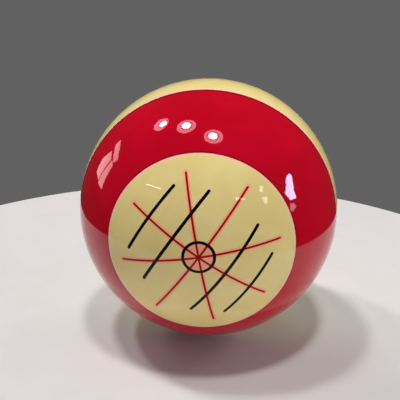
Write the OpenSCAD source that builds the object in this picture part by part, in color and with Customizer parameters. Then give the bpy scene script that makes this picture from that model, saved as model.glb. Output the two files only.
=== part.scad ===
// Spin-training cue ball: an ivory ball with a red band round its front pole.
// Inside the band is an ivory face, inlaid with aiming marks.
// The ball's centre is the origin. The front pole faces -Y and +Z is up.
// Every reach is measured along the ball's surface, from the front pole.

/* [Ball] */
// Diameter of the finished ball
ball_d = 57.15; // [52.5:0.05:61.5]
// Diameter of the filled core
core_d = 38; // [30:0.5:38]

/* [Front face] */
// Reach of the ivory face's edge
face_reach = 19.7; // [17.5:0.1:24]
// Thickness of the ivory face
face_t = 3; // [1.5:0.1:3.5]
// Reach of the red band's outer edge
band_reach = 37.3; // [30:0.1:40]
// Thickness of the red layer
band_t = 6; // [4:0.1:6.5]

/* [Red aiming star] */
// Reach of the eight spokes
spoke_reach = 16; // [12:0.1:17]
// Width of each spoke
spoke_w = 0.42; // [0.3:0.02:0.6]
// Depth of the red inlay
red_t = 0.4; // [0.2:0.05:0.6]

/* [Black marks] */
// Reach of the middle of the centre ring
ring_reach = 2.95; // [2:0.05:4]
// Width of the centre ring's line
ring_w = 0.58; // [0.3:0.02:0.7]
// Gap between the star's middle spoke and the inner lines, and between inner and outer lines
line_gap = 6; // [5:0.1:7]
// Half the length of each inner line
inner_line_reach = 11.1; // [8:0.1:13]
// Half the length of each outer line
outer_line_reach = 7.7; // [5:0.1:10]
// Width of each side line
line_w = 0.64; // [0.4:0.02:0.8]
// Depth of the black inlays
black_t = 0.8; // [0.7:0.05:1.2]

/* [Place of the marks] */
// Clockwise turn of the marks round the front pole, seen from the front
marks_turn = 35; // [0:1:90]

/* [Hidden] */
ball_r = ball_d / 2;
core_r = core_d / 2;
// How far the cutting shapes stand out of the ball
proud = 1;
// Length of the cutting shapes, from the centre to well past the surface
tool_l = 2 * ball_r;
spoke_step = 45;
half_turn = 180;

ivory = "#E6D6A0";
red = "#BE0A2C";
black = "#15110F";
grey = "#8E8A80";

$fn = 128;

// The angle at the ball's centre that a reach along the surface spans
function angle_of(reach) = reach / ball_r * half_turn / PI;

// Shapes are laid out with the front pole along +Z, and this turns them to face -Y
module to_front() {
    rotate([90, 0, 0]) children();
}

// The marks share one turn round the front pole
module turned_marks() {
    to_front() rotate([0, 0, -marks_turn]) children();
}

// The ball's outer layer, from depth t up to outer_r
module skin(t, outer_r) {
    difference() {
        sphere(r = outer_r);
        sphere(r = ball_r - t);
    }
}

// A dome of even thickness round the front pole, with a wall that points at the ball's centre
module dome(reach, t, outer_r) {
    intersection() {
        skin(t, outer_r);
        to_front() cylinder(h = tool_l, r1 = 0, r2 = tool_l * tan(angle_of(reach)));
    }
}

// The outline of a line with round ends, seen along the ball's radius at its middle
module line_outline(reach, w) {
    end = ball_r * sin(angle_of(reach));
    square([w, 2 * end], center = true);
    for (side = [-1, 1])
        translate([0, side * end]) circle(d = w);
}

// A prism that cuts a side line: gaps counts the spaces from the middle spoke, left is minus
module line_prism(gaps, reach) {
    turned_marks() rotate([0, angle_of(gaps * line_gap), 0])
        linear_extrude(height = tool_l) line_outline(reach, line_w);
}

// A prism that cuts the eight spokes: four lines that cross at the pole
module star_prism() {
    turned_marks() linear_extrude(height = tool_l)
        for (turn = [0 : spoke_step : half_turn - spoke_step])
            rotate(turn) line_outline(spoke_reach, spoke_w);
}

// A tube that cuts the centre ring
module ring_prism() {
    mid_r = ball_r * sin(angle_of(ring_reach));
    to_front() linear_extrude(height = tool_l) difference() {
        circle(r = mid_r + ring_w / 2);
        circle(r = mid_r - ring_w / 2);
    }
}

// The groove that the red star lies in
module star_groove() {
    intersection() {
        skin(red_t, ball_r + proud);
        star_prism();
    }
}

// The heavy heart that the ball is cast around
module core() {
    color(grey) sphere(r = core_r);
}

// Half a section of the body: the ball, less the core's room and the recess for the red layer
module body_section() {
    wall_angle = angle_of(band_reach);
    difference() {
        circle(r = ball_r);
        circle(r = core_r);
        translate([-ball_d, -ball_r]) square([ball_d, ball_d]);
        intersection() {
            difference() {
                circle(r = ball_r + proud);
                circle(r = ball_r - band_t);
            }
            polygon([[0, 0], [0, tool_l], [tool_l * sin(wall_angle), tool_l * cos(wall_angle)]]);
        }
    }
}

// The ball itself, in one turn about the front pole's axis
module ivory_body() {
    color(ivory) to_front() rotate_extrude() body_section();
}

// The red layer, with a recess that holds the ivory face
module red_band() {
    color(red) difference() {
        dome(band_reach, band_t, ball_r);
        dome(face_reach, face_t, ball_r + proud);
    }
}

// The ivory face, grooved for the marks
module ivory_face() {
    color(ivory) difference() {
        dome(face_reach, face_t, ball_r);
        intersection() {
            skin(black_t, ball_r + proud);
            union() {
                ring_prism();
                for (side = [-1, 1]) {
                    line_prism(side, inner_line_reach);
                    line_prism(2 * side, outer_line_reach);
                }
            }
        }
        star_groove();
    }
}

// A black mark, notched where the spokes cross over it
module black_inlay() {
    color(black) difference() {
        intersection() {
            skin(black_t, ball_r);
            children();
        }
        star_groove();
    }
}

module centre_ring() {
    black_inlay() ring_prism();
}

module left_outer_line() {
    black_inlay() line_prism(-2, outer_line_reach);
}

module left_inner_line() {
    black_inlay() line_prism(-1, inner_line_reach);
}

module right_inner_line() {
    black_inlay() line_prism(1, inner_line_reach);
}

module right_outer_line() {
    black_inlay() line_prism(2, outer_line_reach);
}

// Eight red spokes that meet at the pole, poured last and so unbroken
module aiming_star() {
    color(red) intersection() {
        skin(red_t, ball_r);
        star_prism();
    }
}

core();
ivory_body();
red_band();
ivory_face();
centre_ring();
left_outer_line();
left_inner_line();
right_inner_line();
right_outer_line();
aiming_star();
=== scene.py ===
"""Looks of a spin-training cue ball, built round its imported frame.

The ball's centre is the origin, the front pole faces -Y and +Z is up. Shapes are worked out in
millimetres in a pole frame, with the front pole along +Z, and turned to face -Y as meshes in metres.
A reach is a distance along the ball's surface, measured from the front pole.
"""

import math

import bmesh
import bpy
import numpy as np
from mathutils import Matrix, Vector


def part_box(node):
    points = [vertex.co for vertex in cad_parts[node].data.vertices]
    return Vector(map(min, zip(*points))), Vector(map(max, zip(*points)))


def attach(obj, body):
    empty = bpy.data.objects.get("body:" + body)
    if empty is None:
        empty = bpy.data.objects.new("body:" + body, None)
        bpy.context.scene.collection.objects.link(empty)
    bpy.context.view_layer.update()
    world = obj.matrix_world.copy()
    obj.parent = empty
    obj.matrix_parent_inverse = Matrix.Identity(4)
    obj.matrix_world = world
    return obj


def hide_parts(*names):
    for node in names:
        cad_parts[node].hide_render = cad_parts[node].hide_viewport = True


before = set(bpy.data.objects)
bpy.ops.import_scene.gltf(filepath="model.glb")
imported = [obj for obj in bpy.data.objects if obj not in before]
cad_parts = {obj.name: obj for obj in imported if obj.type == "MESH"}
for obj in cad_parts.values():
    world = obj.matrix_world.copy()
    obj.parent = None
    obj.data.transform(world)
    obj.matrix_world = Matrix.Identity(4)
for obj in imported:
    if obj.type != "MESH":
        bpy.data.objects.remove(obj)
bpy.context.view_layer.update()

# ---------------------------------------------------------------- sizes, in millimetres

MM = 0.001

# The ball and its layers, read from the frame
ball_low, ball_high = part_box("ivory_body")
BALL_R = (ball_high.x - ball_low.x) / 2 / MM
core_low, core_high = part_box("core")
CORE_R = (core_high.x - core_low.x) / 2 / MM


def layer_of(node):
    """(edge angle, thickness) of a dome-shaped layer round the front pole, from its node's box.

    The edge's half width is R sin(angle), and the back of its wall lies at (R - thickness) cos(angle)."""
    low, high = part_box(node)
    angle = math.asin((high.x - low.x) / 2 / MM / BALL_R)
    return angle, BALL_R + high.y / MM / math.cos(angle)


FACE_ANGLE, FACE_T = layer_of("ivory_face")
BAND_ANGLE, BAND_T = layer_of("red_band")

# The marks, as the part's source gives them
SPOKE_REACH = 16.0
SPOKE_W = 0.42
RED_T = 0.4
RING_REACH = 2.95
RING_W = 0.58
LINE_GAP = 6.0
INNER_LINE_REACH = 11.1
OUTER_LINE_REACH = 7.7
LINE_W = 0.64
BLACK_T = 0.8
LINES = {
    "left_outer_line": (-2, OUTER_LINE_REACH),
    "left_inner_line": (-1, INNER_LINE_REACH),
    "right_inner_line": (1, INNER_LINE_REACH),
    "right_outer_line": (2, OUTER_LINE_REACH),
}
MARKS_TURN = math.radians(35)
SPOKE_STEP = math.radians(45)
SPOKES = 8

# How finely the surfaces are divided
ROUND_STEPS = 240
ARC_STEP = math.radians(1.5)
CORE_ROOM_STEPS = 96
CORE_ROOM_ARC_STEP = math.radians(4)
STRIP_COLS = 5
STRIP_STEP = 0.4
TIP_ROWS = 7
HUB_ROWS = 4
RING_COLS = 4

# How close points must be, in metres, to weld or to count as on one sphere
WELD = 5e-7
SAME_SPHERE = 3e-6

# How far the shapes that cut the grooves stand out of the ball
PROUD = 1.0

# ---------------------------------------------------------------- shapes


def angle_of(reach):
    """The angle at the ball's centre that a reach spans."""
    return reach / BALL_R


def arc(radius, start, stop, step=ARC_STEP):
    """Points (R sin a, R cos a) of a profile, for even steps of the angle a from the front pole."""
    count = max(2, math.ceil(abs(stop - start) / step) + 1)
    a = np.linspace(start, stop, count)
    return np.stack([radius * np.sin(a), radius * np.cos(a)], axis=1)


def grid_faces(rows, cols, wrap_rows=False, wrap_cols=False):
    """Quads of a grid of points. They face the way that the row step crosses the column step."""
    row = np.arange(rows if wrap_rows else rows - 1)
    col = np.arange(cols if wrap_cols else cols - 1)
    i, j = np.meshgrid(row, col, indexing="ij")
    i_next = (i + 1) % rows
    j_next = (j + 1) % cols
    corners = [i * cols + j, i_next * cols + j, i_next * cols + j_next, i * cols + j_next]
    return np.stack(corners, axis=-1).reshape(-1, 4)


def turned(profile, steps=ROUND_STEPS, closed=False):
    """A profile of (d, h) points carried round the pole axis: the point at turn t is (d cos t, d sin t, h).

    The profile runs from pole to pole, or is a closed loop clear of the axis."""
    t = np.linspace(0, 2 * math.pi, steps, endpoint=False)
    points = np.empty((len(profile), steps, 3))
    points[..., 0] = profile[:, :1] * np.cos(t)
    points[..., 1] = profile[:, :1] * np.sin(t)
    points[..., 2] = profile[:, 1:]
    return points.reshape(-1, 3), grid_faces(len(profile), steps, closed, True)


def strip(along, half_width, top_r, bottom_r, first_wall=0):
    """A narrow inlay along +Y whose point at (along s, across t) is x = t w(s), y = s, for t from 1 to -1.

    Its top and bottom lie on spheres of the two radii, and its wall joins them from row first_wall on."""
    t = np.linspace(1, -1, STRIP_COLS)
    x = half_width[:, None] * t
    y = np.broadcast_to(along[:, None], x.shape)
    flat = np.stack([x, y], axis=-1).reshape(-1, 2)
    squared = (flat ** 2).sum(axis=1)
    top = np.column_stack([flat, np.sqrt(top_r ** 2 - squared)])
    bottom = np.column_stack([flat, np.sqrt(bottom_r ** 2 - squared)])
    faces = grid_faces(len(along), STRIP_COLS)
    rows = np.arange(first_wall, len(along))
    edge = np.concatenate([rows * STRIP_COLS, rows[::-1] * STRIP_COLS + STRIP_COLS - 1])
    below = len(flat)
    wall = np.stack([edge[:-1] + below, edge[1:] + below, edge[1:], edge[:-1]], axis=1)
    return np.concatenate([top, bottom]), np.concatenate([faces, faces[:, ::-1] + below, wall])


def tip(end, width):
    """Rows of a round end: y = end + w/2 sin a and half width w/2 cos a, for a from 0 to a right angle."""
    a = np.linspace(0, math.pi / 2, TIP_ROWS)
    return end + width / 2 * np.sin(a), width / 2 * np.cos(a)


def line(reach, top_r, bottom_r):
    """A side line: an even strip with a round end each way, laid along the sphere."""
    end = BALL_R * math.sin(angle_of(reach))
    tip_along, tip_half = tip(end, LINE_W)
    count = math.ceil(2 * end / STRIP_STEP)
    middle = np.linspace(-end, end, count + 1)[1:-1]
    along = np.concatenate([-tip_along[::-1], middle, tip_along])
    half_width = np.concatenate([tip_half[::-1], np.full(len(middle), LINE_W / 2), tip_half])
    return strip(along, half_width, top_r, bottom_r)


def star(top_r, bottom_r):
    """Eight spokes that meet at the pole, each as wide as its eighth of the turn until it is full width."""
    end = BALL_R * math.sin(angle_of(SPOKE_REACH))
    root = SPOKE_W / 2 / math.tan(SPOKE_STEP / 2)
    tip_along, tip_half = tip(end, SPOKE_W)
    hub = np.linspace(0, root, HUB_ROWS)
    count = math.ceil((end - root) / STRIP_STEP)
    middle = np.linspace(root, end, count + 1)[1:-1]
    along = np.concatenate([hub, middle, tip_along])
    half_width = np.minimum(along * math.tan(SPOKE_STEP / 2), SPOKE_W / 2)
    half_width[-len(tip_half):] = tip_half
    points, faces = strip(along, half_width, top_r, bottom_r, first_wall=len(hub) - 1)
    arms = [(points @ about_pole(k * SPOKE_STEP).T, faces) for k in range(SPOKES)]
    return joined(arms)


def ring(top_r, bottom_r):
    """The centre ring: an upright tube between two spheres, as one closed profile carried round the pole."""
    middle = BALL_R * math.sin(angle_of(RING_REACH))
    d = np.linspace(middle - RING_W / 2, middle + RING_W / 2, RING_COLS)
    top = np.column_stack([d, np.sqrt(top_r ** 2 - d ** 2)])
    bottom = np.column_stack([d, np.sqrt(bottom_r ** 2 - d ** 2)])
    return turned(np.concatenate([top, bottom[::-1]]), closed=True)


def joined(shells):
    """Several (points, faces) shells as one."""
    starts = np.cumsum([0] + [len(points) for points, _ in shells[:-1]])
    points = np.concatenate([points for points, _ in shells])
    return points, np.concatenate([faces + start for (_, faces), start in zip(shells, starts)])


def about_pole(angle):
    """The matrix that turns points about the pole axis."""
    c, s = math.cos(angle), math.sin(angle)
    return np.array([[c, -s, 0], [s, c, 0], [0, 0, 1]])


def side_line(gaps, reach, top_r, bottom_r):
    """A side line so many gaps from the middle spoke: tilted off the pole about the axis across it."""
    points, faces = line(reach, top_r, bottom_r)
    g = angle_of(gaps * LINE_GAP)
    tilt = np.array([[math.cos(g), 0, math.sin(g)], [0, 1, 0], [-math.sin(g), 0, math.cos(g)]])
    return points @ tilt.T, faces


def marked(shell):
    """A shell with the turn that all the marks share."""
    points, faces = shell
    return points @ about_pole(-MARKS_TURN).T, faces


def weld(mesh):
    """Merges points that lie within the weld distance, and clears the slivers that leaves."""
    work = bmesh.new()
    work.from_mesh(mesh)
    bmesh.ops.remove_doubles(work, verts=work.verts, dist=WELD)
    bmesh.ops.dissolve_degenerate(work, edges=work.edges, dist=WELD)
    work.to_mesh(mesh)
    work.free()


def make_object(name, shell):
    """A welded mesh object from a shell in the pole frame, turned so that the pole faces -Y, in metres."""
    points, faces = shell
    x, y, z = points.T
    mesh = bpy.data.meshes.new(name)
    mesh.from_pydata((np.stack([x, -z, y], axis=1) * MM).tolist(), [], faces.tolist())
    weld(mesh)
    obj = bpy.data.objects.new(name, mesh)
    bpy.context.scene.collection.objects.link(obj)
    return obj


def cut(obj, cutters):
    """The object less its cutters, with the result kept as its mesh."""
    for cutter in cutters:
        modifier = obj.modifiers.new(cutter.name, "BOOLEAN")
        modifier.operation = "DIFFERENCE"
        modifier.solver = "MANIFOLD"
        modifier.object = cutter
    evaluated = obj.evaluated_get(bpy.context.evaluated_depsgraph_get())
    mesh = bpy.data.meshes.new_from_object(evaluated)
    weld(mesh)
    obj.modifiers.clear()
    obj.data = mesh


def shade_true(obj):
    """Normals of a turned ball: exact where a face keeps one distance from the centre, flat on walls."""
    mesh = obj.data
    mesh.shade_smooth()
    co = np.empty(len(mesh.vertices) * 3, np.float32)
    mesh.vertices.foreach_get("co", co)
    co = co.reshape(-1, 3).astype(float)
    corner = np.empty(len(mesh.loops), np.int32)
    mesh.loops.foreach_get("vertex_index", corner)
    total = np.empty(len(mesh.polygons), np.int32)
    mesh.polygons.foreach_get("loop_total", total)
    start = np.empty(len(mesh.polygons), np.int32)
    mesh.polygons.foreach_get("loop_start", start)
    flat = np.empty(len(mesh.polygons) * 3, np.float32)
    mesh.polygons.foreach_get("normal", flat)
    flat = flat.reshape(-1, 3).astype(float)
    distance = np.linalg.norm(co, axis=1)[corner]
    spread = np.maximum.reduceat(distance, start) - np.minimum.reduceat(distance, start)
    radial = co[corner] / distance[:, None]
    facing = np.repeat(flat, total, axis=0)
    outward = np.sign((radial * facing).sum(axis=1, keepdims=True))
    on_sphere = np.repeat(spread < SAME_SPHERE, total)[:, None]
    mesh.normals_split_custom_set(np.where(on_sphere, radial * outward, facing).tolist())


# ---------------------------------------------------------------- colours and nodes


def srgb(code):
    """Linear colour of an sRGB hex value."""
    channels = [int(code[i:i + 2], 16) / 255 for i in (1, 3, 5)]
    linear = [c / 12.92 if c <= 0.04045 else ((c + 0.055) / 1.055) ** 2.4 for c in channels]
    return (*linear, 1.0)


def per_mm(size):
    """The scale that gives a pattern on coordinates in metres features of that many millimetres."""
    return 1 / (size * MM)


# The settings of a range that eases in and out
EASED = {"interpolation_type": "SMOOTHSTEP"}


def add(tree, kind, inputs=(), **settings):
    """Adds a node with its settings, and sets or links its inputs, given by name or in order.

    Only inputs in use count, and a node given as a value stands for its first output in use."""
    node = tree.nodes.new("ShaderNode" + kind)
    for name, value in settings.items():
        setattr(node, name, value)
    sockets = [socket for socket in node.inputs if socket.enabled]
    if isinstance(inputs, dict):
        sockets = [next(socket for socket in sockets if socket.name == name) for name in inputs]
        inputs = inputs.values()
    for socket, value in zip(sockets, inputs):
        if isinstance(value, bpy.types.Node):
            value = next(output for output in value.outputs if output.enabled)
        if isinstance(value, bpy.types.NodeSocket):
            tree.links.new(value, socket)
        else:
            socket.default_value = value
    return node


def new_tree(owner):
    """The empty node tree of a material or a world."""
    owner.use_nodes = True
    owner.node_tree.nodes.clear()
    return owner.node_tree


def surface(name, colour_of, finish_of):
    """A material with a Principled surface, whose colour and finish two functions of its tree give."""
    material = bpy.data.materials.new(name)
    tree = new_tree(material)
    shader = add(tree, "BsdfPrincipled", {"Base Color": colour_of(tree), **finish_of(tree)})
    add(tree, "OutputMaterial", {"Surface": shader})
    return material


def object_place(tree):
    """Object coordinates: places on the ball, in metres."""
    return add(tree, "TexCoord").outputs["Object"]


def pole_place(tree):
    """Object coordinates turned into the marks' own frame: the middle spoke along Y, the pole along Z."""
    turn = (-math.pi / 2, 0, MARKS_TURN)
    return add(tree, "Mapping", {"Vector": object_place(tree), "Rotation": turn})


def reach_on(tree, place):
    """Reach in millimetres of the point being shaded: R times the angle from the front pole."""
    unit = add(tree, "VectorMath", [place], operation="NORMALIZE")
    height = add(tree, "SeparateXYZ", [unit]).outputs["Z"]
    angle = add(tree, "Math", [height], operation="ARCCOSINE")
    return add(tree, "Math", [angle, BALL_R], operation="MULTIPLY")


# ---------------------------------------------------------------- materials

IVORY = srgb("#EAD992")
IVORY_DEEP = srgb("#E5D187")
# Painted glow: these peach tones paint red light scattered into the ivory beside the red band, the spokes
# and inside the ring
PAINTED_RED_GLOW = srgb("#FFC8A8")
PAINTED_SPOKE_GLOW = srgb("#FFB088")
PAINTED_HUB_GLOW = srgb("#F6A284")
RED = srgb("#C00622")
RED_DEEP = srgb("#B8051E")
RED_SEAM = srgb("#6A030A")
SPOKE_RED = srgb("#921204")
SPOKE_RED_DEEP = srgb("#880E03")
SPOKE_EDGE = srgb("#C43014")
SPOKE_DARK = srgb("#340505")
BLACK = srgb("#0C0303")
BLACK_WORN = srgb("#150706")
FILLER_GREY = srgb("#8E8A80")
FILLER_BROWN = srgb("#7C766A")
FILLER_SPECK = srgb("#B4AE9E")

# Lower than the solid resin's own, so that the layers and the thin inlays keep their depth of colour
RESIN_IOR = 1.45
INLAY_IOR = 1.25

# Roughness of the (smoothest, dullest) parts of each polished piece, and of the core
BODY_GLOSS = (0.02, 0.06)
FACE_GLOSS = (0.02, 0.07)
BAND_GLOSS = (0.02, 0.06)
INLAY_GLOSS = (0.03, 0.1)
CORE_ROUGHNESS = 0.62

# Sizes of the patterns, in millimetres
CLOUD_SIZE = 9.0
SMUDGE_SIZE = 14.0
HAIRLINE_LENGTH = 12.0
HAIRLINE_W = 0.25
FILLER_GRAIN = 0.7
GRAIN_DEPTH = 0.05
# Widths of the painted glow of red light in the ivory beside the seams and the spokes
FACE_GLOW_W = 0.68
BODY_GLOW_W = 1.4
SPOKE_GLOW_W = 0.52
INNER_SEAM_W = 0.5
OUTER_SEAM_W = 1.1

# The two runs of hairlines, and how much a hairline dulls the gloss
HAIRLINE_TURNS = ((0.5, 0.9, 0.3), (1.9, 0.4, 1.2))
HAIRLINE_DULLING = 0.3

# Spans of a noise or a distance over which each pattern comes in
HAIRLINE_SPAN = (0.74, 0.82)
SMUDGE_SPAN = (0.3, 1.0)
CLOUD_SPAN = (0.35, 0.68)
SPECK_SPAN = (0.18, 0.42)
CROSSING_SPAN = (-0.05, 0.1)

# Character of the noises, and how strongly the grain stands out
HAIRLINE_SCALE = 0.35
SMUDGE_DETAIL = 3.0
CLOUD_DETAIL = 4.0
CLOUD_SWIRL = 0.6
GRAIN_STRENGTH = 0.4

# The painted glow of red light inside the ring: how strong it is, and where it starts to fade, as a share of
# the ring's reach
HUB_STRENGTH = 0.85
HUB_FADE = 0.8

# Where a spoke's paler edge starts and is full, as shares of the spoke's width from its middle
SPOKE_EDGE_START = 0.2
SPOKE_EDGE_FULL = 0.5


def polish(tree, gloss, ior=RESIN_IOR):
    """Hand polish on cast resin: an even gloss with faint smudges and a few hairlines.

    Real hairlines are a few hundredths of a millimetre wide, and these are drawn wider so that they show."""
    place = object_place(tree)
    size = {"Vector": place, "Scale": per_mm(SMUDGE_SIZE), "Detail": SMUDGE_DETAIL}
    amount = add(tree, "TexNoise", size)
    across = per_mm(HAIRLINE_W)
    for turn in HAIRLINE_TURNS:
        size = (across, across, per_mm(HAIRLINE_LENGTH))
        run = add(tree, "Mapping", {"Vector": place, "Rotation": turn, "Scale": size})
        noise = add(tree, "TexNoise", {"Vector": run, "Scale": HAIRLINE_SCALE, "Detail": 0.0})
        hair = add(tree, "MapRange", [noise, *HAIRLINE_SPAN, 0.0, HAIRLINE_DULLING], **EASED)
        amount = add(tree, "Math", [amount, hair], operation="ADD")
    return {"Roughness": add(tree, "MapRange", [amount, *SMUDGE_SPAN, *gloss]), "IOR": ior}


def clouded(tree, colour, deep_colour):
    """Slow swirls between two near colours, left by the resin as it was poured."""
    size = {"Vector": object_place(tree), "Scale": per_mm(CLOUD_SIZE)}
    noise = add(tree, "TexNoise", {**size, "Detail": CLOUD_DETAIL, "Distortion": CLOUD_SWIRL})
    depth = add(tree, "MapRange", [noise, *CLOUD_SPAN, 1.0, 0.0], **EASED)
    return add(tree, "Mix", [depth, colour, deep_colour], data_type="RGBA")


def ivory_body_colour(tree):
    """Clouded ivory, with a painted peach glow along the red band's edge, where red light scatters into the
    ivory.
    """
    reach = reach_on(tree, pole_place(tree))
    # Painted glow: peach along the band's edge stands for red light scattered into the ivory
    past = add(tree, "Math", [reach, BALL_R * BAND_ANGLE], operation="SUBTRACT")
    red_glow = add(tree, "MapRange", [past, BODY_GLOW_W / 4, BODY_GLOW_W, 1.0, 0.0], **EASED)
    ivory = clouded(tree, IVORY, IVORY_DEEP)
    return add(tree, "Mix", [red_glow, ivory, PAINTED_RED_GLOW], data_type="RGBA")


def ivory_body_resin():
    """Cast phenolic resin, ivory, ground and polished: an even, deep gloss over a warm, opaque cream."""
    return surface("cast_phenolic_ivory_body", ivory_body_colour, lambda tree: polish(tree, BODY_GLOSS))


def spoke_distance(tree, place):
    """Distance in millimetres from the middle of the nearest spoke, or past its end."""
    flat = add(tree, "VectorMath", [place, (1 / MM, 1 / MM, 0)], operation="MULTIPLY")
    near = BALL_R
    for k in range(SPOKES // 2):
        across = (math.cos(k * SPOKE_STEP), math.sin(k * SPOKE_STEP), 0)
        offset = add(tree, "VectorMath", [flat, across], operation="DOT_PRODUCT")
        size = add(tree, "Math", [offset], operation="ABSOLUTE")
        near = add(tree, "Math", [size, near], operation="MINIMUM")
    out = add(tree, "VectorMath", [flat], operation="LENGTH")
    past = add(tree, "Math", [out, BALL_R * math.sin(angle_of(SPOKE_REACH))], operation="SUBTRACT")
    return add(tree, "Math", [near, past], operation="MAXIMUM")


def ivory_face_colour(tree):
    """Clouded ivory, with a painted peach glow along the red band and the spokes, and inside the ring, where
    red light scatters into the ivory.
    """
    place = pole_place(tree)
    reach = reach_on(tree, place)
    ivory = clouded(tree, IVORY, IVORY_DEEP)
    # Painted glow of red light along the band's inner seam
    inside = add(tree, "Math", [BALL_R * FACE_ANGLE, reach], operation="SUBTRACT")
    rim_glow = add(tree, "MapRange", [inside, FACE_GLOW_W / 4, FACE_GLOW_W, 1.0, 0.0], **EASED)
    colour = add(tree, "Mix", [rim_glow, ivory, PAINTED_RED_GLOW], data_type="RGBA")
    # Painted glow of red light beside the spokes
    beside = add(tree, "Math", [spoke_distance(tree, place), SPOKE_W / 2], operation="SUBTRACT")
    spoke = add(tree, "MapRange", [beside, SPOKE_GLOW_W / 4, SPOKE_GLOW_W, 1.0, 0.0], **EASED)
    colour = add(tree, "Mix", [spoke, colour, PAINTED_SPOKE_GLOW], data_type="RGBA")
    # Painted glow of red light inside the ring, where the spokes crowd together
    hub = add(tree, "MapRange", [reach, RING_REACH * HUB_FADE, RING_REACH, HUB_STRENGTH, 0.0], **EASED)
    return add(tree, "Mix", [hub, colour, PAINTED_HUB_GLOW], data_type="RGBA")


def ivory_face_resin():
    """Cast phenolic resin, ivory, polished: as the body, with a painted warm glow of red light from its red
    neighbours.
    """
    return surface("cast_phenolic_ivory_face", ivory_face_colour, lambda tree: polish(tree, FACE_GLOSS))


def red_band_colour(tree):
    """Clouded red, deeper along both seams, where the layer meets ivory."""
    reach = reach_on(tree, pole_place(tree))
    colour = clouded(tree, RED, RED_DEEP)
    inner = add(tree, "Math", [reach, BALL_R * FACE_ANGLE], operation="SUBTRACT")
    outer = add(tree, "Math", [BALL_R * BAND_ANGLE, reach], operation="SUBTRACT")
    for inside, width in ((inner, INNER_SEAM_W), (outer, OUTER_SEAM_W)):
        seam = add(tree, "MapRange", [inside, 0.0, width, 1.0, 0.0], **EASED)
        colour = add(tree, "Mix", [seam, colour, RED_SEAM], data_type="RGBA")
    return colour


def red_band_resin():
    """Cast phenolic resin, red, polished: a full colour under a clear, hard gloss."""
    return surface("cast_phenolic_red", red_band_colour, lambda tree: polish(tree, BAND_GLOSS))


def black_inlay_resin():
    """Poured resin, black, polished flush: near black, a little warmer and paler where it has worn."""
    return surface(
        "poured_resin_black",
        lambda tree: clouded(tree, BLACK, BLACK_WORN),
        lambda tree: polish(tree, INLAY_GLOSS, INLAY_IOR),
    )


def over_black(tree, place):
    """1 where the red star crosses the ring or a side line, with a short soft edge."""
    axes = add(tree, "SeparateXYZ", [place])
    far = add(tree, "Math", [axes.outputs["Y"], 1 / MM], operation="MULTIPLY")
    far = add(tree, "Math", [far], operation="ABSOLUTE")
    off_ring = add(tree, "Math", [reach_on(tree, place), RING_REACH], operation="SUBTRACT")
    off_ring = add(tree, "Math", [off_ring], operation="ABSOLUTE")
    near = add(tree, "Math", [off_ring, RING_W / 2], operation="SUBTRACT")
    for gaps, reach in LINES.values():
        g = angle_of(gaps * LINE_GAP)
        across = (math.cos(g) / MM, 0, -math.sin(g) / MM)
        off = add(tree, "VectorMath", [place, across], operation="DOT_PRODUCT")
        off = add(tree, "Math", [off], operation="ABSOLUTE")
        past = add(tree, "Math", [far, BALL_R * math.sin(angle_of(reach))], operation="SUBTRACT")
        off = add(tree, "Math", [off, past], operation="MAXIMUM")
        off = add(tree, "Math", [off, LINE_W / 2], operation="SUBTRACT")
        near = add(tree, "Math", [near, off], operation="MINIMUM")
    return add(tree, "MapRange", [near, *CROSSING_SPAN, 1.0, 0.0], **EASED)


def red_inlay_colour(tree):
    """Clouded red, paler along its thin edges and darkened where the black marks under it show through."""
    place = pole_place(tree)
    red = clouded(tree, SPOKE_RED, SPOKE_RED_DEEP)
    beside = spoke_distance(tree, place)
    start, full = SPOKE_W * SPOKE_EDGE_START, SPOKE_W * SPOKE_EDGE_FULL
    edge = add(tree, "MapRange", [beside, start, full, 0.0, 1.0], **EASED)
    red = add(tree, "Mix", [edge, red, SPOKE_EDGE], data_type="RGBA")
    return add(tree, "Mix", [over_black(tree, place), red, SPOKE_DARK], data_type="RGBA")


def red_inlay_resin():
    """Poured resin, red, polished flush: thin, so that it looks darker than the thick red band."""
    return surface("poured_resin_red", red_inlay_colour, lambda tree: polish(tree, INLAY_GLOSS, INLAY_IOR))


def filler_grain(tree):
    """The pattern of mineral grains in the filled resin."""
    return add(tree, "TexVoronoi", {"Vector": object_place(tree), "Scale": per_mm(FILLER_GRAIN)})


def core_colour(tree):
    """Clouded grey-brown, with a pale speck on each grain."""
    speck = add(tree, "MapRange", [filler_grain(tree), *SPECK_SPAN, 1.0, 0.0], **EASED)
    filled = clouded(tree, FILLER_GREY, FILLER_BROWN)
    return add(tree, "Mix", [speck, filled, FILLER_SPECK], data_type="RGBA")


def core_finish(tree):
    """A matt, slightly gritty surface, left as it came from the mould."""
    height = {"Strength": GRAIN_STRENGTH, "Distance": GRAIN_DEPTH * MM, "Height": filler_grain(tree)}
    return {"Roughness": CORE_ROUGHNESS, "Normal": add(tree, "Bump", height)}


def core_resin():
    """Resin filled with mineral powder, as cast: matt, grey-brown and speckled with filler grains."""
    return surface("filled_resin_as_cast", core_colour, core_finish)


# ---------------------------------------------------------------- pieces


def finish_piece(obj, material, node):
    """Shades a piece, gives it its material and ties it to the frame."""
    shade_true(obj)
    obj.data.materials.clear()
    obj.data.materials.append(material)
    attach(obj, "root")
    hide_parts(node)


def ivory_body(material):
    """The ball less the red layer's recess, with the core's room inside it."""
    recess = arc(BALL_R - BAND_T, 0, BAND_ANGLE)
    outside = arc(BALL_R, BAND_ANGLE, math.pi)
    room = turned(arc(CORE_R, math.pi, 0, CORE_ROOM_ARC_STEP), CORE_ROOM_STEPS)
    obj = make_object("visual_ivory_body", joined([turned(np.concatenate([recess, outside])), room]))
    finish_piece(obj, material, "ivory_body")


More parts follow.
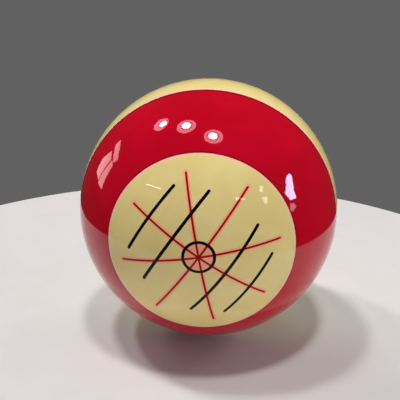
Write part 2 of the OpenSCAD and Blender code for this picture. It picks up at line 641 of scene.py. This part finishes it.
def red_band(material):
    """The red layer: the face's recess, the band's outside, and the underside back to the pole."""
    recess = arc(BALL_R - FACE_T, 0, FACE_ANGLE)
    outside = arc(BALL_R, FACE_ANGLE, BAND_ANGLE)
    underside = arc(BALL_R - BAND_T, BAND_ANGLE, 0)
    obj = make_object("visual_red_band", turned(np.concatenate([recess, outside, underside])))
    finish_piece(obj, material, "red_band")


def star_shell(top_r):
    """The red star as it lies on the ball, up to a radius."""
    return marked(star(top_r, BALL_R - RED_T))


def ring_shell(top_r):
    """The centre ring as it lies on the ball, up to a radius."""
    return marked(ring(top_r, BALL_R - BLACK_T))


def line_shell(name, top_r):
    """A side line as it lies on the ball, up to a radius."""
    gaps, reach = LINES[name]
    return marked(side_line(gaps, reach, top_r, BALL_R - BLACK_T))


def groove_cutters():
    """The marks' own shapes, stood proud of the ball: (the star, [the black marks])."""
    top = BALL_R + PROUD
    star_cutter = make_object("cut_star", star_shell(top))
    black_cutters = [make_object("cut_ring", ring_shell(top))]
    black_cutters += [make_object("cut_" + name, line_shell(name, top)) for name in LINES]
    return star_cutter, black_cutters


def ivory_face(material, cutters):
    """The ivory face: a dome of even thickness, grooved for every mark."""
    outside = arc(BALL_R, 0, FACE_ANGLE)
    underside = arc(BALL_R - FACE_T, FACE_ANGLE, 0)
    obj = make_object("visual_ivory_face", turned(np.concatenate([outside, underside])))
    cut(obj, cutters)
    finish_piece(obj, material, "ivory_face")


def black_marks(material, star_cutter):
    """The centre ring and the side lines, notched where the star crosses over them."""
    shells = {"centre_ring": ring_shell(BALL_R)}
    shells.update({name: line_shell(name, BALL_R) for name in LINES})
    for name, shell in shells.items():
        obj = make_object("visual_" + name, shell)
        cut(obj, [star_cutter])
        finish_piece(obj, material, name)


def aiming_star(material):
    """The red star, whole."""
    obj = make_object("visual_aiming_star", star_shell(BALL_R))
    finish_piece(obj, material, "aiming_star")


def core(material):
    """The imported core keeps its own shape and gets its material."""
    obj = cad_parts["core"]
    obj.data.materials.clear()
    obj.data.materials.append(material)


# ---------------------------------------------------------------- stage, in metres

TABLE_R = 0.101
TABLE_CENTRE = (-0.0085, 0.009)
TABLE_T = 0.018
TABLE_EDGE_R = 0.002
TABLE_EDGE_STEPS = 13
TABLE_PALE = srgb("#CBC8C6")
TABLE_MOTTLE = srgb("#C9C6C4")
TABLE_ROUGHNESS = 0.55


def table_material():
    """Satin laminate, pressed: pale, plain and even, with a very slight mottle."""
    return surface(
        "satin_laminate_pale",
        lambda tree: clouded(tree, TABLE_PALE, TABLE_MOTTLE),
        lambda tree: {"Roughness": TABLE_ROUGHNESS},
    )


def stage_object(name, points, faces, material):
    """A stage mesh from points and faces in metres."""
    mesh = bpy.data.meshes.new(name)
    mesh.from_pydata(points.tolist(), [], faces)
    mesh.materials.append(material)
    obj = bpy.data.objects.new(name, mesh)
    bpy.context.scene.collection.objects.link(obj)
    return obj


def table():
    """A round table top: a profile with a rounded edge, carried round the upright axis."""
    a = np.linspace(0, math.pi, TABLE_EDGE_STEPS)
    edge_d = TABLE_R - TABLE_EDGE_R + TABLE_EDGE_R * np.sin(a)
    middle_h = np.where(a <= math.pi / 2, -TABLE_EDGE_R, TABLE_EDGE_R - TABLE_T)
    edge_h = middle_h + TABLE_EDGE_R * np.cos(a)
    d = np.concatenate([[0], edge_d, [0]])
    h = np.concatenate([[0], edge_h, [-TABLE_T]])
    points, faces = turned(np.column_stack([d, h]))
    points += [*TABLE_CENTRE, -BALL_R * MM]
    stage_object("table", points, faces.tolist(), table_material())


def aim(obj, place, target):
    """Puts an object at a place with its -Z axis towards the target and its Y axis upwards."""
    obj.location = place
    obj.rotation_euler = (Vector(target) - Vector(place)).to_track_quat("-Z", "Y").to_euler()


# The camera stands this far from the ball's centre, turned from straight ahead and raised
CAMERA_DISTANCE = 0.1429
CAMERA_TURN = math.radians(3.55)
CAMERA_RISE = math.radians(19.3)
CAMERA_TARGET = (-0.0019, 0.0, 0.0015)
CAMERA_LENS = 56.75
CAMERA_NEAR = 0.01


def camera():
    """The camera that sees the ball from a little above its front."""
    data = bpy.data.cameras.new("camera")
    data.lens = CAMERA_LENS
    data.clip_start = CAMERA_NEAR
    obj = bpy.data.objects.new("camera", data)
    bpy.context.scene.collection.objects.link(obj)
    level = CAMERA_DISTANCE * math.cos(CAMERA_RISE)
    height = CAMERA_DISTANCE * math.sin(CAMERA_RISE)
    aim(obj, (level * math.sin(CAMERA_TURN), -level * math.cos(CAMERA_TURN), height), CAMERA_TARGET)
    bpy.context.scene.camera = obj


def soft_light(name, place, target, size, power, shape):
    """A soft light of (width, height) metres that the gloss doesn't show."""
    data = bpy.data.lights.new(name, "AREA")
    data.shape = shape
    data.size, data.size_y = size
    data.energy = power
    obj = bpy.data.objects.new(name, data)
    bpy.context.scene.collection.objects.link(obj)
    aim(obj, place, target)
    obj.visible_glossy = False
    obj.visible_camera = False


CEILING = 2.0
LAMP_STEPS = 64
BULB_R = 0.115
TRIM_R = 0.15
SHADE_R = 0.25
SHADE_RISE = 0.04

# Each downlight's bulb, and the middle of the shade above it, across the ceiling
DOWNLIGHTS = {
    "downlight_left": ((-1.18, 0.48), (-1.28, 0.51)),
    "downlight_middle": ((-0.54, 0.08), (-0.56, 0.05)),
    "downlight_right": ((0.13, -0.34), (0.15, -0.37)),
}
DOWNLIGHT_POWER = 16.9

# Each fill's place, size and power
FILLS = {
    "right_fill": ((1.0, -0.2, 0.25), (0.5, 0.3), 2.6),
    "front_fill": ((0.3, -1.0, 0.05), (0.6, 0.2), 2.1),
    "left_back_fill": ((-0.62, 0.95, 0.35), (0.5, 0.3), 3.9),
    "right_back_fill": ((0.85, 0.75, 0.3), (0.5, 0.3), 4.2),
}

# Linear colours of the lit surfaces that show in the gloss
BULB_GLOW = (40.0, 40.0, 40.0)
TRIM_GLOW = (0.5, 0.5, 0.6)
SHADE_GLOW = (8.0, 4.2, 5.2)
EVENING_GLOW = (5.0, 3.1, 3.2)
DAY_GLOW = (14.0, 16.5, 24.0)
SILL_GLOW = (6.0, 3.4, 4.4)
SPARK_GLOW = (12.0, 12.0, 11.0)
NEAR_GLOW = (16.0, 13.0, 10.0)
FAR_GLOW = (8.0, 8.0, 7.0)

# Linear colours of the room: behind the ball, in its gloss, and as light from all round
ROOM_SEEN = (0.12, 0.12, 0.12, 1.0)
ROOM_IN_GLOSS = (0.03, 0.03, 0.03, 1.0)
ROOM_FILL = (0.15, 0.125, 0.155, 1.0)

# Corners of each lit pane as (turn from +X towards +Y, height above the horizon), in degrees
WINDOW_DISTANCE = 1.5
PANES = {
    "left_window_top": (EVENING_GLOW, [(151, 26), (151, 22), (165, 19), (168, 23), (159, 26)]),
    "left_window_back": (EVENING_GLOW, [(153, 19), (148, 10), (149, 4), (157, 4), (160, 18)]),
    "left_window_front": (EVENING_GLOW, [(162, 19), (159, 9), (158, 3), (166, 3), (167, 18)]),
    "right_window_upper": (DAY_GLOW, [(-5, 25), (-8, 24), (-11, 20), (-2, 20), (0, 23), (-1, 25)]),
    "right_window_lower": (DAY_GLOW, [(-11, 20), (-15, 16), (-12, 10), (-5, 9), (-5, 14), (-2, 20)]),
    "right_window_sill": (SILL_GLOW, [(-13, 8), (-14, 4), (-12, 2), (-7, 4), (-9, 7)]),
    "strip_lamp": (SPARK_GLOW, [(-148, 27), (-148, 26), (-131, 27), (-131, 28)]),
    "far_lamp_upper": (FAR_GLOW, [(-37, 29), (-39, 25), (-36, 24), (-33, 28)]),
    "far_lamp_lower": (FAR_GLOW, [(-38, 20), (-37, 15), (-34, 15), (-33, 20)]),
    "near_lamp": (NEAR_GLOW, [(-62, 25), (-62, 23), (-54, 22), (-54, 23)]),
}


def lit_surface(name, points, faces, glow):
    """A lit stage surface that only the gloss shows: it casts no light or shade of its own."""
    material = bpy.data.materials.new(name)
    tree = new_tree(material)
    light = add(tree, "Emission", {"Color": (*glow, 1.0), "Strength": 1.0})
    add(tree, "OutputMaterial", {"Surface": light})
    obj = stage_object(name, points, faces, material)
    obj.visible_camera = False
    obj.visible_shadow = False
    obj.visible_diffuse = False


def downlights():
    """Three ceiling lamps: the light itself, and the bulb, trim ring and shade that the gloss shows."""
    for name, ((x, y), (shade_x, shade_y)) in DOWNLIGHTS.items():
        place = (x, y, CEILING)
        soft_light(name, place, (x, y, 0), (2 * BULB_R, 2 * BULB_R), DOWNLIGHT_POWER, "DISK")
        for part, inner, outer, centre, glow in (
            ("_bulb", 0, BULB_R, place, BULB_GLOW),
            ("_trim", BULB_R, TRIM_R, place, TRIM_GLOW),
            ("_shade", 0, SHADE_R, (shade_x, shade_y, CEILING + SHADE_RISE), SHADE_GLOW),
        ):
            points, faces = turned(np.array([[inner, 0], [outer, 0]]), LAMP_STEPS)
            lit_surface(name + part, points + centre, faces.tolist(), glow)


def windows():
    """Lit panes whose corners lie in the given directions, all one distance from the ball."""
    for name, (glow, corners) in PANES.items():
        turn, height = np.radians(corners).T
        flat = np.cos(height)
        ways = np.stack([flat * np.cos(turn), flat * np.sin(turn), np.sin(height)], axis=1)
        points = WINDOW_DISTANCE * ways
        lit_surface(name, points, [list(range(len(corners)))], glow)


def low_fills():
    """Soft lights low on the right, in front and behind the ball on both sides."""
    for name, (place, size, power) in FILLS.items():
        soft_light(name, place, (0, 0, 0), size, power, "RECTANGLE")


def room():
    """A plain neutral room: dim behind the ball, darker in its gloss, and a soft fill from all round."""
    world = bpy.data.worlds.new("room")
    tree = new_tree(world)
    path = add(tree, "LightPath").outputs
    colour = add(tree, "Mix", [path["Is Camera Ray"], ROOM_FILL, ROOM_SEEN], data_type="RGBA")
    colour = add(tree, "Mix", [path["Is Glossy Ray"], colour, ROOM_IN_GLOSS], data_type="RGBA")
    add(tree, "OutputWorld", {"Surface": add(tree, "Background", {"Color": colour, "Strength": 1.0})})
    bpy.context.scene.world = world


# ---------------------------------------------------------------- the whole

star_cutter, black_cutters = groove_cutters()
ivory_body(ivory_body_resin())
red_band(red_band_resin())
ivory_face(ivory_face_resin(), [star_cutter, *black_cutters])
black_marks(black_inlay_resin(), star_cutter)
aiming_star(red_inlay_resin())
core(core_resin())
for cutter in (star_cutter, *black_cutters):
    bpy.data.objects.remove(cutter)

table()
downlights()
windows()
low_fills()
room()
camera()
bpy.context.scene.view_settings.view_transform = "Standard"
